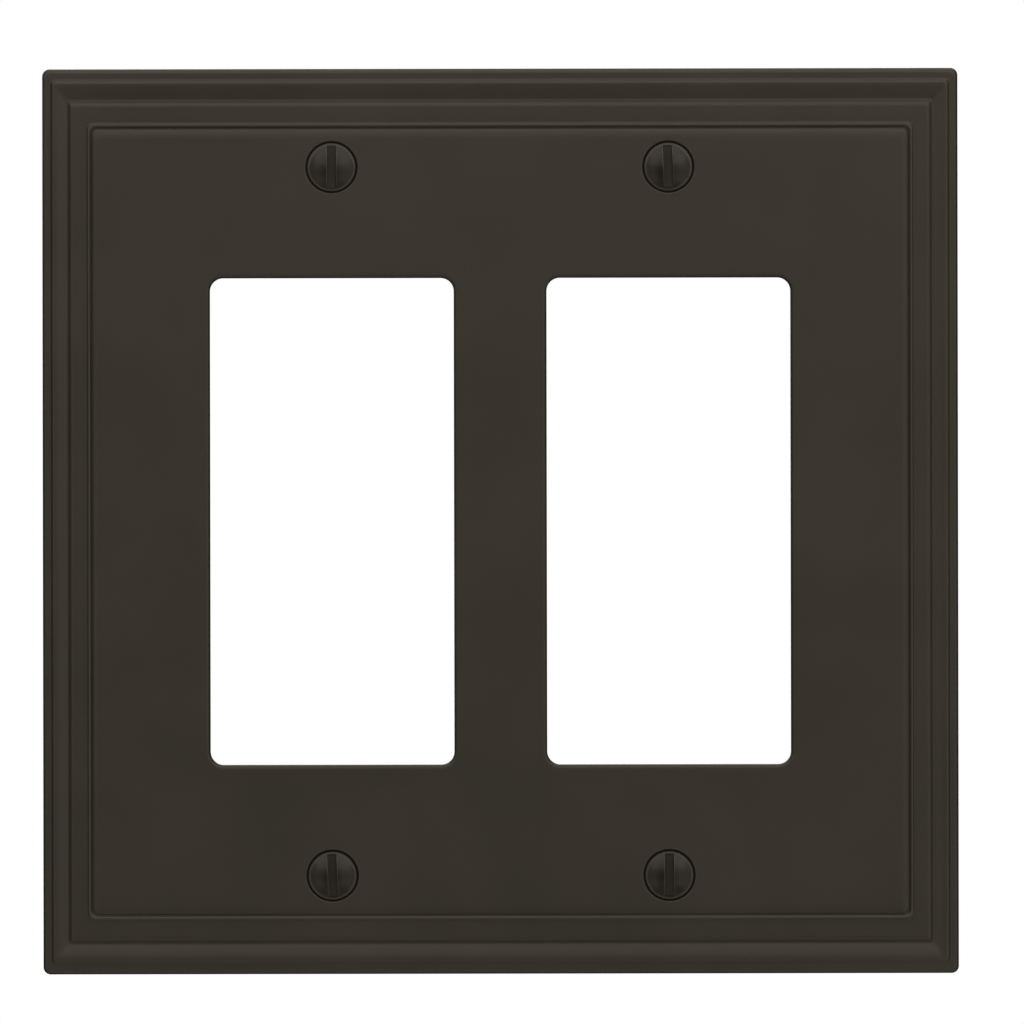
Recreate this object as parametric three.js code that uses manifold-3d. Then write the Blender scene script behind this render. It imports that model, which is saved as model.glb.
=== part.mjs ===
import * as THREE from 'three';
import { mergeVertices } from 'three/addons/utils/BufferGeometryUtils.js';
import Module from 'manifold-3d';

// A two-gang wall plate cover for rocker switches and outlets: one hollow cast faceplate with a moulded
// border, held to the two devices behind it by four slotted oval-head machine screws.
//
// Everything is drawn with X to the right, Y up and Z straight out of the wall, from the plate's centre on
// the wall plane. The finished assembly is then turned so that up is +Z and the front faces -Y.
// All sizes are in millimetres.

// ---- Driving dimensions -------------------------------------------------------------------------------

const GANG_PITCH = 46.04; // centre to centre of two neighbouring devices
const SCREW_SPACING = 96.84; // upper to lower cover screw of one device

const PLATE = { width: 125.2, height: 123.8, cornerRadius: 1.0 };
const WINDOW = { width: 33.35, height: 66.55, cornerRadius: 1.8, edgeRadius: 0.55 };

// The border's section, as distances in from the outer edge along the top and bottom.
const INSET = {
  roundedEdge: 0.65,
  band: 1.36,
  crown: 2.02,
  cove: 4.32,
  ledge: 5.3,
  beadFoot: 7.26,
  bead: 7.7,
  quirk: 8.14,
  panel: 9.7,
};

// The two sides have narrower steps. Both lists give the insets of the same few places in the section.
const STEPS_ALONG_TOP = [0, 1.69, 4.3, INSET.bead, INSET.panel];
const STEPS_AT_SIDES = [0, 1.32, 3.48, 6.4, 7.95];

// The same section's heights above the wall plane.
const HEIGHT = {
  outerWall: 5.15,
  band: 5.84,
  crown: 6.16,
  cove: 5.66,
  ledge: 6.12,
  beadFoot: 6.12,
  bead: 6.32,
  quirk: 6.0,
  panel: 6.4,
};

// The section's curves, each named by the place it leads to: its two control points, as shares of the
// curve's width and rise. The last three are the thin bead, the quirk behind it and the pillowed shoulder.
const CURVES = {
  crown: [[0.3, 0], [0.55, 1]],
  cove: [[0.2, 0], [0.42, 0.16]],
  ledge: [[0.3, 0.6], [0.5, 1]],
  bead: [[0.4, 0], [0.5, 1]],
  quirk: [[0.5, 0], [0.7, 1]],
  panel: [[0.06, 0.58], [0.4, 1]],
};

// Corner radius of the border's rings: the mitred inner steps are tight, the bead and panel rounder.
const STEP_CORNER_RADIUS = 0.5;
const PANEL_CORNER_RADIUS = 0.9;

// The hollow behind the face.
const RECESS = { depth: 4.3, rimWidth: 2.4, cornerRadius: 2.0, filletRadius: 0.8, draft: 0.08 };
const BOSS = { radius: 4.8, height: 1.0, chamfer: 0.2 };

// A 6-32 oval-head screw. Lengths run back from the head's rim.
const SCREW = {
  rimRadius: 3.28,
  rimBand: 0.12,
  domeRadius: 3.08,
  crownHeight: 0.7,
  length: 12.7,
  majorRadius: 1.74,
  rootRadius: 1.3,
  pitch: 0.794,
  overlapWithHead: 1,
  neckLength: 1,
  tipRadius: 1.0,
  tipLength: 0.8,
};
const SLOT = { width: 1.15, floorAboveRim: 0.05 };
const COUNTERSINK_HALF_ANGLE = THREE.MathUtils.degToRad(41);
const COUNTERSINK_RADIUS = 3.62;
const CLEARANCE_HOLE_RADIUS = 2.05;
const SEAT_GAP = 0.22; // between the head's cone and its countersink, square to the cones

// How far each screw's slot leans from upright, in degrees, as a driver left it.
const SCREWS = [
  { name: 'screw_upper_left', column: -1, row: 1, slotLean: 0 },
  { name: 'screw_upper_right', column: 1, row: 1, slotLean: 2.5 },
  { name: 'screw_lower_left', column: -1, row: -1, slotLean: 2.5 },
  { name: 'screw_lower_right', column: 1, row: -1, slotLean: 0 },
];

// Fineness of the facets.
const CURVE_STEPS = 5;
const CORNER_STEPS = 4;
const WINDOW_CORNER_STEPS = 6;
const ROUND_SIDES = 32;
const THREAD_SIDES = 16;
const THREAD_STEPS_PER_TURN = 4;

const THROUGH = 2; // how far a cutter runs past the face that it opens

// ---- Joining and cutting ------------------------------------------------------------------------------

const wasm = await Module();
wasm.setup();

// The closed mesh of a geometry as a solid. Triangles that collapse to a line at a pole are left out.
function toSolid(geometry) {
  const bare = geometry.clone();
  bare.deleteAttribute('normal');
  bare.deleteAttribute('uv');
  const merged = mergeVertices(bare, 1e-5);
  const corners = merged.index.array;
  const kept = [];
  for (let i = 0; i < corners.length; i += 3) {
    const [a, b, c] = corners.slice(i, i + 3);
    if (a !== b && b !== c && c !== a) {
      kept.push(a, b, c);
    }
  }
  const mesh = new wasm.Mesh({
    numProp: 3,
    vertProperties: new Float32Array(merged.attributes.position.array),
    triVerts: new Uint32Array(kept),
  });
  return new wasm.Manifold(mesh);
}

function toGeometry(solid) {
  const mesh = solid.getMesh();
  const geometry = new THREE.BufferGeometry();
  geometry.setAttribute('position', new THREE.BufferAttribute(new Float32Array(mesh.vertProperties), 3));
  geometry.setIndex(new THREE.BufferAttribute(new Uint32Array(mesh.triVerts), 1));
  geometry.computeVertexNormals();
  return geometry;
}

// ---- Shapes -------------------------------------------------------------------------------------------

// One ring of a loft: a rectangle with rounded corners at one height, anticlockwise seen from the front.
function roundedRing(halfWidth, halfHeight, radius, height, cornerSteps) {
  const ring = [];
  for (let corner = 0; corner < 4; corner += 1) {
    const right = corner === 0 || corner === 3 ? 1 : -1;
    const up = corner < 2 ? 1 : -1;
    for (let step = 0; step <= cornerSteps; step += 1) {
      const angle = (corner + step / cornerSteps) * (Math.PI / 2);
      const x = right * (halfWidth - radius) + radius * Math.cos(angle);
      const y = up * (halfHeight - radius) + radius * Math.sin(angle);
      ring.push(new THREE.Vector3(x, y, height));
    }
  }
  return ring;
}

// A closed skin over rings of equally many points, back to front, with a fan across each end.
function loft(rings) {
  const count = rings[0].length;
  const indices = [];
  for (let r = 0; r + 1 < rings.length; r += 1) {
    for (let k = 0; k < count; k += 1) {
      const next = (k + 1) % count;
      const near = r * count;
      const far = near + count;
      indices.push(near + k, near + next, far + next);
      indices.push(near + k, far + next, far + k);
    }
  }
  const last = (rings.length - 1) * count;
  for (let k = 1; k + 1 < count; k += 1) {
    indices.push(0, k + 1, k);
    indices.push(last, last + k, last + k + 1);
  }
  const geometry = new THREE.BufferGeometry().setFromPoints(rings.flat());
  geometry.setIndex(indices);
  return geometry;
}

// A round solid about Z from a profile of (radius, height) points that starts and ends on the axis.
function turned(profile, sides = ROUND_SIDES) {
  return new THREE.LatheGeometry(profile, sides).rotateX(Math.PI / 2);
}

// ---- Faceplate ----------------------------------------------------------------------------------------

// Carries a path on from one place of the section to another along the curve named by the second.
function curveTo(path, from, to) {
  const controls = CURVES[to].flatMap(([across, up]) => [
    THREE.MathUtils.lerp(INSET[from], INSET[to], across),
    THREE.MathUtils.lerp(HEIGHT[from], HEIGHT[to], up),
  ]);
  path.bezierCurveTo(...controls, INSET[to], HEIGHT[to]);
}

// The border's section from the wall plane to the flat panel, as (inset, height) points: a rounded edge, a
// narrow band, the crown and its long fall to the sharp foot of the cove, the ledge, the bead and the panel.
function borderSection() {
  const path = new THREE.Path();
  path.moveTo(0, 0);
  path.lineTo(0, HEIGHT.outerWall);
  path.quadraticCurveTo(0, HEIGHT.band, INSET.roundedEdge, HEIGHT.band);
  path.lineTo(INSET.band, HEIGHT.band);
  curveTo(path, 'band', 'crown');
  curveTo(path, 'crown', 'cove');
  curveTo(path, 'cove', 'ledge');
  path.lineTo(INSET.beadFoot, HEIGHT.beadFoot);
  curveTo(path, 'beadFoot', 'bead');
  curveTo(path, 'bead', 'quirk');
  curveTo(path, 'quirk', 'panel');
  return path.getPoints(CURVE_STEPS);
}

// The inset at the two sides of the step that lies at the given inset along the top.
function sideInset(inset) {
  const next = Math.max(1, STEPS_ALONG_TOP.findIndex((step) => step >= inset));
  const [low, high] = [STEPS_ALONG_TOP[next - 1], STEPS_ALONG_TOP[next]];
  return THREE.MathUtils.mapLinear(inset, low, high, STEPS_AT_SIDES[next - 1], STEPS_AT_SIDES[next]);
}

// Corner radius of the ring at one inset: it closes from the outer corner to the mitred steps, and opens
// again towards the bead and the panel.
function borderCornerRadius(inset) {
  if (inset < INSET.ledge) {
    const towardsSteps = Math.min(inset / INSET.crown, 1);
    return THREE.MathUtils.lerp(PLATE.cornerRadius, STEP_CORNER_RADIUS, towardsSteps);
  }
  const towardsPanel = Math.min((inset - INSET.ledge) / (INSET.bead - INSET.ledge), 1);
  return THREE.MathUtils.lerp(STEP_CORNER_RADIUS, PANEL_CORNER_RADIUS, towardsPanel);
}

function plateBlank() {
  const rings = borderSection().map(({ x: inset, y: height }) =>
    roundedRing(
      PLATE.width / 2 - sideInset(inset),
      PLATE.height / 2 - inset,
      borderCornerRadius(inset),
      height,
      CORNER_STEPS,
    ),
  );
  return toSolid(loft(rings));
}

// The hollow behind the face: drafted walls, a filleted ceiling, open at the wall plane.
function recessCutter() {
  const halfWidth = PLATE.width / 2 - RECESS.rimWidth;
  const halfHeight = PLATE.height / 2 - RECESS.rimWidth;
  const rings = [roundedRing(halfWidth, halfHeight, RECESS.cornerRadius, -THROUGH, CORNER_STEPS)];
  for (let step = 0; step <= CURVE_STEPS; step += 1) {
    const angle = (step / CURVE_STEPS) * (Math.PI / 2);
    const inward = RECESS.draft + RECESS.filletRadius * (1 - Math.cos(angle));
    const height = RECESS.depth - RECESS.filletRadius * (1 - Math.sin(angle));
    rings.push(
      roundedRing(halfWidth - inward, halfHeight - inward, RECESS.cornerRadius, height, CORNER_STEPS),
    );
  }
  return toSolid(loft(rings));
}

// One device window. Its opening widens at the face in a quarter round, which softens the window's edge.
function windowCutter() {
  const ring = (grow, height) =>
    roundedRing(
      WINDOW.width / 2 + grow,
      WINDOW.height / 2 + grow,
      WINDOW.cornerRadius + grow,
      height,
      WINDOW_CORNER_STEPS,
    );
  const rings = [ring(0, -THROUGH)];
  for (let step = 0; step <= CURVE_STEPS; step += 1) {
    const angle = (step / CURVE_STEPS) * (Math.PI / 2);
    const grow = WINDOW.edgeRadius * (1 - Math.cos(angle));
    rings.push(ring(grow, HEIGHT.panel - WINDOW.edgeRadius * (1 - Math.sin(angle))));
  }
  rings.push(ring(WINDOW.edgeRadius, HEIGHT.panel + THROUGH));
  return toSolid(loft(rings));
}

// Height at which the countersink has narrowed to the given radius.
function countersinkHeight(radius) {
  return HEIGHT.panel - (COUNTERSINK_RADIUS - radius) / Math.tan(COUNTERSINK_HALF_ANGLE);
}

function screwHoleCutter() {
  const profile = [
    new THREE.Vector2(0, -THROUGH),
    new THREE.Vector2(CLEARANCE_HOLE_RADIUS, -THROUGH),
    new THREE.Vector2(CLEARANCE_HOLE_RADIUS, countersinkHeight(CLEARANCE_HOLE_RADIUS)),
    new THREE.Vector2(COUNTERSINK_RADIUS, HEIGHT.panel),
    new THREE.Vector2(COUNTERSINK_RADIUS, HEIGHT.panel + THROUGH),
    new THREE.Vector2(0, HEIGHT.panel + THROUGH),
  ];
  return toSolid(turned(profile));
}

// The thicker ring of metal that backs each countersink, running a little into the front wall.
function boss() {
  const top = (RECESS.depth + HEIGHT.panel) / 2;
  const foot = RECESS.depth - BOSS.height;
  const profile = [
    new THREE.Vector2(0, foot),
    new THREE.Vector2(BOSS.radius - BOSS.chamfer, foot),
    new THREE.Vector2(BOSS.radius, foot + BOSS.chamfer),
    new THREE.Vector2(BOSS.radius, top),
    new THREE.Vector2(0, top),
  ];
  return toSolid(turned(profile));
}

function screwPlace({ column, row }) {
  return [(column * GANG_PITCH) / 2, (row * SCREW_SPACING) / 2, 0];
}

function faceplate() {
  let solid = plateBlank().subtract(recessCutter());
  for (const screw of SCREWS) {
    solid = solid.add(boss().translate(screwPlace(screw)));
  }
  for (const screw of SCREWS) {
    solid = solid.subtract(screwHoleCutter().translate(screwPlace(screw)));
  }
  for (const column of [-1, 1]) {
    solid = solid.subtract(windowCutter().translate([(column * GANG_PITCH) / 2, 0, 0]));
  }
  const finish = new THREE.MeshStandardMaterial({ color: 0x39362f, roughness: 0.48, metalness: 0.75 });
  const mesh = new THREE.Mesh(toGeometry(solid), finish);
  mesh.name = 'faceplate';
  return mesh;
}

// ---- Screws -------------------------------------------------------------------------------------------

// Height of the head's rim: its cone stays SEAT_GAP clear of the countersink all round.
const RIM_HEIGHT =
  HEIGHT.panel -
  (COUNTERSINK_RADIUS - SCREW.rimRadius) / Math.tan(COUNTERSINK_HALF_ANGLE) +
  SEAT_GAP / Math.sin(COUNTERSINK_HALF_ANGLE);

// The head with its origin at the rim: a cone below, a thin straight band, a narrow flat and a spherical
// crown above.
function screwHead() {
  const coneDepth = (SCREW.rimRadius - SCREW.rootRadius) / Math.tan(COUNTERSINK_HALF_ANGLE);
  const sphereRadius = (SCREW.domeRadius ** 2 + SCREW.crownHeight ** 2) / (2 * SCREW.crownHeight);
  const crownAngle = Math.asin(SCREW.domeRadius / sphereRadius);
  const profile = [
    new THREE.Vector2(0, -coneDepth),
    new THREE.Vector2(SCREW.rootRadius, -coneDepth),
    new THREE.Vector2(SCREW.rimRadius, 0),
    new THREE.Vector2(SCREW.rimRadius, SCREW.rimBand),
  ];
  for (let step = 0; step <= CURVE_STEPS; step += 1) {
    const angle = crownAngle * (1 - step / CURVE_STEPS);
    const radius = sphereRadius * Math.sin(angle);
    const height = sphereRadius * Math.cos(angle) - sphereRadius + SCREW.crownHeight;
    profile.push(new THREE.Vector2(radius, SCREW.rimBand + height));
  }
  return toSolid(turned(profile));
}

// The threaded shank: the radius swings between root and crest once a pitch, and that wave turns with the
// angle, so the crests climb as a right-hand helix. It fades out under the head and at the pointed tip.
function screwShank() {
  const start = -SCREW.length;
  const end = -SCREW.overlapWithHead;
  const threadStart = end - SCREW.neckLength;
  const steps = Math.round(((end - start) / SCREW.pitch) * THREAD_STEPS_PER_TURN);
  const meanRadius = (SCREW.majorRadius + SCREW.rootRadius) / 2;
  const swing = (SCREW.majorRadius - SCREW.rootRadius) / 2;
  const rings = [];
  for (let step = 0; step <= steps; step += 1) {
    const height = THREE.MathUtils.lerp(start, end, step / steps);
    const fromTip = THREE.MathUtils.clamp((height - start) / SCREW.tipLength, 0, 1);
    const fromHead = THREE.MathUtils.clamp((threadStart - height) / SCREW.pitch, 0, 1);
    const ring = [];
    for (let side = 0; side < THREAD_SIDES; side += 1) {
      const angle = (side / THREAD_SIDES) * 2 * Math.PI;
      const wave = Math.cos((2 * Math.PI * height) / SCREW.pitch - angle);
      const threaded = meanRadius + swing * wave;
      const shank = THREE.MathUtils.lerp(SCREW.rootRadius, threaded, fromHead);
      const radius = THREE.MathUtils.lerp(SCREW.tipRadius, shank, fromTip);
      ring.push(new THREE.Vector3(radius * Math.cos(angle), radius * Math.sin(angle), height));
    }
    rings.push(ring);
  }
  return toSolid(loft(rings));
}

function slotCutter() {
  const floor = SCREW.rimBand + SLOT.floorAboveRim;
  const tall = SCREW.crownHeight + THROUGH;
  const box = new THREE.BoxGeometry(SLOT.width, 4 * SCREW.rimRadius, tall);
  return toSolid(box.translate(0, 0, floor + tall / 2));
}

function screw(place) {
  const solid = screwHead().add(screwShank()).subtract(slotCutter());
  const finish = new THREE.MeshStandardMaterial({ color: 0x34312b, roughness: 0.4, metalness: 0.85 });
  const mesh = new THREE.Mesh(toGeometry(solid), finish);
  mesh.name = place.name;
  mesh.position.fromArray(screwPlace(place)).setZ(RIM_HEIGHT);
  mesh.rotation.z = THREE.MathUtils.degToRad(place.slotLean);
  return mesh;
}

// ---- Assembly -----------------------------------------------------------------------------------------

const wallPlateCover = new THREE.Group();
wallPlateCover.add(faceplate());
for (const place of SCREWS) {
  wallPlateCover.add(screw(place));
}
wallPlateCover.rotation.x = Math.PI / 2;

export default wallPlateCover;
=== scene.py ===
import math

import bmesh
import bpy
import numpy as np
from bpy.props import FloatProperty, FloatVectorProperty, IntProperty, PointerProperty
from mathutils import Euler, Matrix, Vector
from mathutils.geometry import delaunay_2d_cdt


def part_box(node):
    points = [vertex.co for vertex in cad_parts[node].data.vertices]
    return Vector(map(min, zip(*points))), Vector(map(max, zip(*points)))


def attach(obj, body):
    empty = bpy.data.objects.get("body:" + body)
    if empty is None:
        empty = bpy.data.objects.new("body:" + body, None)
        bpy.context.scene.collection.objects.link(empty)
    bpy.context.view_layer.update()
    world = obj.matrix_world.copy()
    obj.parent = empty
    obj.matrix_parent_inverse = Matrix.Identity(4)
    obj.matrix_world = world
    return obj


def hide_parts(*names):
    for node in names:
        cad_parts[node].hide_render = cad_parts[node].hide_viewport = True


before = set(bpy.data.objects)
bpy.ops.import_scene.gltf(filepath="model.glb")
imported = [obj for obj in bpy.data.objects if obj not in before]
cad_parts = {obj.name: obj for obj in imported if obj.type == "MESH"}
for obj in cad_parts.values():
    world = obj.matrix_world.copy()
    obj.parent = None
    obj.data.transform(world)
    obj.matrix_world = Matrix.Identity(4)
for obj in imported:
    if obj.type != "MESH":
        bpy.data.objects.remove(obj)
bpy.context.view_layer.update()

bl_info = {
    "name": "Wall plate cover",
    "version": (1, 0, 0),
    "blender": (4, 5, 0),
    "location": "3D View > Sidebar > Wall plate",
    "description": "Makes a two-gang cast wall plate with its four screws, and a plain studio round it",
    "category": "Add Mesh",
}

MM = 0.001
WELD = 1.5e-6

# ---- Places taken from the frame ------------------------------------------------------------------------

PLATE_LOW, PLATE_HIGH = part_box("faceplate")
HALF_WIDTH = PLATE_HIGH.x / MM
HALF_HEIGHT = PLATE_HIGH.z / MM
PANEL = -PLATE_LOW.y / MM
SCREW_NODES = ("screw_upper_left", "screw_upper_right", "screw_lower_left", "screw_lower_right")


def screw_centre(node):
    """Where one screw's axis meets the wall plane, as millimetres across and up."""
    low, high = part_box(node)
    middle = (low + high) / 2
    return np.array((middle.x, middle.z)) / MM


SCREW_CENTRES = {node: screw_centre(node) for node in SCREW_NODES}
GANG_OFFSET = abs(SCREW_CENTRES["screw_upper_right"][0])
CROWN_TOP = -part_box("screw_upper_left")[0].y / MM
SCREW_TIP = -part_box("screw_upper_left")[1].y / MM

# ---- Settings -------------------------------------------------------------------------------------------


class PlateSettings(bpy.types.PropertyGroup):
    """What a user would change on the faceplate. Lengths are in metres."""

    window_width: FloatProperty(
        name="Window width", description="Width of one rocker window", default=0.03335, unit="LENGTH"
    )
    window_height: FloatProperty(
        name="Window height", description="Height of one rocker window", default=0.06655, unit="LENGTH"
    )
    window_corner: FloatProperty(
        name="Window corner", description="Corner radius of a window", default=0.0018, unit="LENGTH"
    )
    window_edge: FloatProperty(
        name="Window edge", description="Rounding of a window's front edge", default=0.00055, unit="LENGTH"
    )
    fill_spacing: FloatProperty(
        name="Facet spacing", description="Spacing of the points that fill the flats", default=0.0025,
        unit="LENGTH",
    )
    corner_steps: IntProperty(
        name="Corner steps", description="Facets round each corner", default=10, min=3
    )


class ScrewSettings(bpy.types.PropertyGroup):
    """What a user would change on the screws. Lengths are in metres."""

    rim_radius: FloatProperty(
        name="Rim radius", description="Radius of the head at its rim", default=0.00328, unit="LENGTH"
    )
    crown_height: FloatProperty(
        name="Crown height", description="Rise of the domed head above its rim", default=0.0007,
        unit="LENGTH",
    )
    slot_width: FloatProperty(
        name="Slot width", description="Width of the driver slot", default=0.00115, unit="LENGTH"
    )
    slot_leans: FloatVectorProperty(
        name="Slot leans",
        description="Lean of each slot from upright: upper left, upper right, lower left, lower right",
        default=(0.0, math.radians(2.5), math.radians(2.5), 0.0),
        size=4,
        unit="ROTATION",
    )
    pitch: FloatProperty(
        name="Thread pitch", description="Advance of the thread in one turn", default=0.000794,
        unit="LENGTH",
    )


class FinishSettings(bpy.types.PropertyGroup):
    """Colours and gloss of the bronze finish."""

    bronze: FloatVectorProperty(
        name="Bronze", description="Colour of the finish on the flats", default=(0.0500, 0.0435, 0.0310),
        size=3, subtype="COLOR", min=0.0, max=1.0,
    )
    # The colour that the hollow marks are darkened towards: painted shade in the hollows.
    hollow_shade: FloatVectorProperty(
        name="Hollow shade", description="Darker colour left in the hollows", default=(0.0165, 0.0140, 0.0100),
        size=3, subtype="COLOR", min=0.0, max=1.0,
    )
    # The lighter colour of worn edges, which also paints the highlight on the screws' rim band.
    edge_wear_and_highlight: FloatVectorProperty(
        name="Edge wear and highlight", description="Lighter colour of the handled edges",
        default=(0.075, 0.066, 0.053), size=3, subtype="COLOR", min=0.0, max=1.0,
    )
    sheen: FloatVectorProperty(
        name="Sheen", description="Tint of the finish's reflections", default=(1.0, 0.90, 0.76),
        size=3, subtype="COLOR", min=0.0, max=1.0,
    )
    roughness: FloatProperty(
        name="Roughness", description="Roughness of the satin finish", default=0.42, subtype="FACTOR"
    )


class StageSettings(bpy.types.PropertyGroup):
    """The camera and the studio."""

    camera_distance: FloatProperty(
        name="Camera distance", description="From the camera to the panel", default=1.9, unit="LENGTH"
    )
    softbox_distance: FloatProperty(
        name="Softbox distance", description="From the plate's centre to each softbox", default=0.7,
        unit="LENGTH",
    )
    view_width: FloatProperty(
        name="View width", description="Width that the camera takes in at the panel", default=0.13997,
        unit="LENGTH",
    )
    camera_offset: FloatVectorProperty(
        name="Camera offset", description="How far right and up of the plate's centre the camera stands",
        default=(0.00158, 0.00125), size=2, unit="LENGTH",
    )
    camera_roll: FloatProperty(
        name="Camera roll", description="How far the camera is turned about its view",
        default=math.radians(0.1), unit="ROTATION",
    )


# ---- Profiles and grids ---------------------------------------------------------------------------------


def bezier(points, steps):
    """Points along a Bezier curve: the sum of its control points, weighted by the Bernstein polynomials of
    a parameter that runs from 0 to 1. The last point is left to the next stretch."""
    points = np.asarray(points, float)
    degree = len(points) - 1
    along = np.linspace(0.0, 1.0, steps, endpoint=False)[:, None]
    curve = np.zeros((steps, points.shape[1]))
    for index, point in enumerate(points):
        curve += math.comb(degree, index) * along**index * (1.0 - along) ** (degree - index) * point
    return curve


def arc(centre, radius, start_deg, end_deg, steps):
    """Points of a circular arc: the centre plus the radius times the cosine and sine of evenly spaced
    angles."""
    angle = np.radians(np.linspace(start_deg, end_deg, steps + 1))
    return np.stack((centre[0] + radius * np.cos(angle), centre[1] + radius * np.sin(angle)), axis=-1)


def rounded_rectangles(half_width, half_height, radius, corner_steps, side_steps):
    """Rings of points round rectangles with rounded corners, one ring for each entry of the three arrays.
    Each corner is a quarter circle about a centre that lies a radius inside both edges, and each side is a
    straight run between the ends of two corners. The result has the shape (rings, points, 2)."""
    half_width, half_height, radius = (
        np.atleast_1d(np.asarray(a, float))[:, None, None] for a in (half_width, half_height, radius)
    )
    right = np.array((1, -1, -1, 1))[None, :, None]
    up = np.array((1, 1, -1, -1))[None, :, None]
    quarter = np.linspace(0.0, 1.0, corner_steps + 1)[None, None, :]
    angle = (np.arange(4)[None, :, None] + quarter) * (math.pi / 2)
    x = right * (half_width - radius) + radius * np.cos(angle)
    y = up * (half_height - radius) + radius * np.sin(angle)
    corners = np.stack((x, y), axis=-1)
    ends = corners[:, :, -1:, :]
    starts = np.roll(corners[:, :, :1, :], -1, axis=1)
    share = (np.arange(1, side_steps) / side_steps)[None, None, :, None]
    sides = ends + (starts - ends) * share
    rings = np.concatenate((corners, sides), axis=2)
    return rings.reshape(len(rings), -1, 2)


def edge_marks(profile, reach):
    """How convex and how hollow a profile is at each of its points, from 0 to 1. The turn between
    neighbouring chords is spread over a bell curve of the given reach along the profile, and its sign says
    which it is: a left turn is convex on a profile that keeps the metal on its left."""
    steps = np.diff(profile, axis=0)
    heading = np.unwrap(np.arctan2(steps[:, 1], steps[:, 0]))
    turn = np.zeros(len(profile))
    turn[1:-1] = np.diff(heading)
    distance = np.concatenate(((0.0,), np.cumsum(np.hypot(steps[:, 0], steps[:, 1]))))
    gap = (distance[:, None] - distance[None, :]) / reach
    spread = np.exp(-0.5 * gap**2) @ turn
    spread[[0, -1]] = 0.0
    return np.clip(spread, 0.0, 1.0), np.clip(-spread, 0.0, 1.0)


class Shell:
    """The growing mesh of one piece: points in millimetres as (across, up, out of the wall), with each
    point's edge mark, which lightens scuffed edges and paints highlights, its hollow mark, which paints
    shade, and faces as rows of point numbers."""

    def __init__(self):
        self.points, self.edge_wear_and_highlight, self.hollow, self.faces = [], [], [], []
        self.count = 0

    def add(self, points, faces, edge_wear_and_highlight, hollow):
        """Takes arrays of points and faces, and marks that are arrays or one number for all."""
        points = points.reshape(-1, 3)
        self.points.append(points)
        self.edge_wear_and_highlight.append(np.broadcast_to(edge_wear_and_highlight, len(points)))
        self.hollow.append(np.broadcast_to(hollow, len(points)))
        self.faces.append(faces + self.count)
        self.count += len(points)

    def add_grid(self, grid, edge_wear_and_highlight=0.0, hollow=0.0, closed=True):
        """Joins a (rows, columns, 3) grid of points with one face between each four neighbours. A closed
        grid also joins its last column to its first."""
        rows, columns = grid.shape[:2]
        number = np.arange(rows * columns).reshape(rows, columns)
        if closed:
            number = np.concatenate((number, number[:, :1]), axis=1)
        faces = np.stack((number[:-1, :-1], number[:-1, 1:], number[1:, 1:], number[1:, :-1]), axis=-1)
        marks = [np.broadcast_to(np.asarray(m, float), (rows, columns)).ravel() for m in (edge_wear_and_highlight, hollow)]
        self.add(grid, faces.reshape(-1, 4), *marks)

    def to_object(self, name, turn=0.0, centre=(0.0, 0.0)):
        """Turns the points about the out-of-wall axis, moves them to their centre, stands them up so that
        out of the wall is -Y, and welds them into one closed mesh whose faces point outwards."""
        points = np.concatenate(self.points)
        across = points[:, 0] * math.cos(turn) - points[:, 1] * math.sin(turn) + centre[0]
        up = points[:, 0] * math.sin(turn) + points[:, 1] * math.cos(turn) + centre[1]
        placed = np.stack((across, -points[:, 2], up), axis=-1) * MM
        mesh = bpy.data.meshes.new(name)
        faces = [row for block in self.faces for row in block.tolist()]
        mesh.from_pydata(placed.tolist(), [], faces)
        for label, marks in (("edge_wear_and_highlight", self.edge_wear_and_highlight), ("hollow", self.hollow)):
            layer = mesh.attributes.new(label, "FLOAT", "POINT")
            layer.data.foreach_set("value", np.concatenate(marks).astype(np.float32))
        weld(mesh)
        piece = bpy.data.objects.new(name, mesh)
        bpy.context.scene.collection.objects.link(piece)
        return piece


def weld(mesh):
    """Merges the points that stretches share, drops faces that this closes up, turns all faces outwards and
    raises an error if the surface isn't closed."""
    editing = bmesh.new()
    editing.from_mesh(mesh)
    bmesh.ops.remove_doubles(editing, verts=editing.verts, dist=WELD)
    bmesh.ops.dissolve_degenerate(editing, edges=editing.edges, dist=WELD / 10)
    open_edges = [e for e in editing.edges if not e.is_manifold]
    if open_edges:
        editing.free()
        raise RuntimeError(f"{mesh.name} is not closed: {len(open_edges)} open edges")
    bmesh.ops.recalc_face_normals(editing, faces=editing.faces)
    editing.to_mesh(mesh)
    editing.free()
    mesh.shade_smooth()


# ---- Faceplate ------------------------------------------------------------------------------------------

# The border's section in millimetres: heights above the wall plane, which hang from the panel's, and
# distances in from the outer edge.
OUTER_WALL = PANEL - 1.25
BAND = PANEL - 0.56
CROWN = PANEL - 0.24
COVE = PANEL - 0.74
LEDGE = PANEL - 0.28
BEAD = PANEL - 0.08
QUIRK = PANEL - 0.40
EDGE_INSET, BAND_INSET, CROWN_INSET, COVE_INSET = 0.65, 1.36, 2.02, 4.32
LEDGE_INSET, BEAD_FOOT_INSET, BEAD_INSET, QUIRK_INSET, PANEL_INSET = 5.30, 7.26, 7.70, 8.14, 9.70

# Insets of a few of the steps along the top and bottom, and of the same steps at the sides.
STEPS_ALONG_TOP = (0.0, 1.69, 4.3, BEAD_INSET, PANEL_INSET)
STEPS_AT_SIDES = (0.0, 1.32, 3.48, 6.4, 7.95)

# The section's curves: the two control points of each, as shares of the curve's width and rise.
TO_CROWN = ((0.3, 0.0), (0.55, 1.0))
TO_COVE = ((0.2, 0.0), (0.42, 0.16))
TO_LEDGE = ((0.3, 0.6), (0.5, 1.0))
TO_BEAD = ((0.4, 0.0), (0.5, 1.0))
TO_QUIRK = ((0.5, 0.0), (0.7, 1.0))
TO_PANEL = ((0.06, 0.58), (0.4, 1.0))

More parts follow.
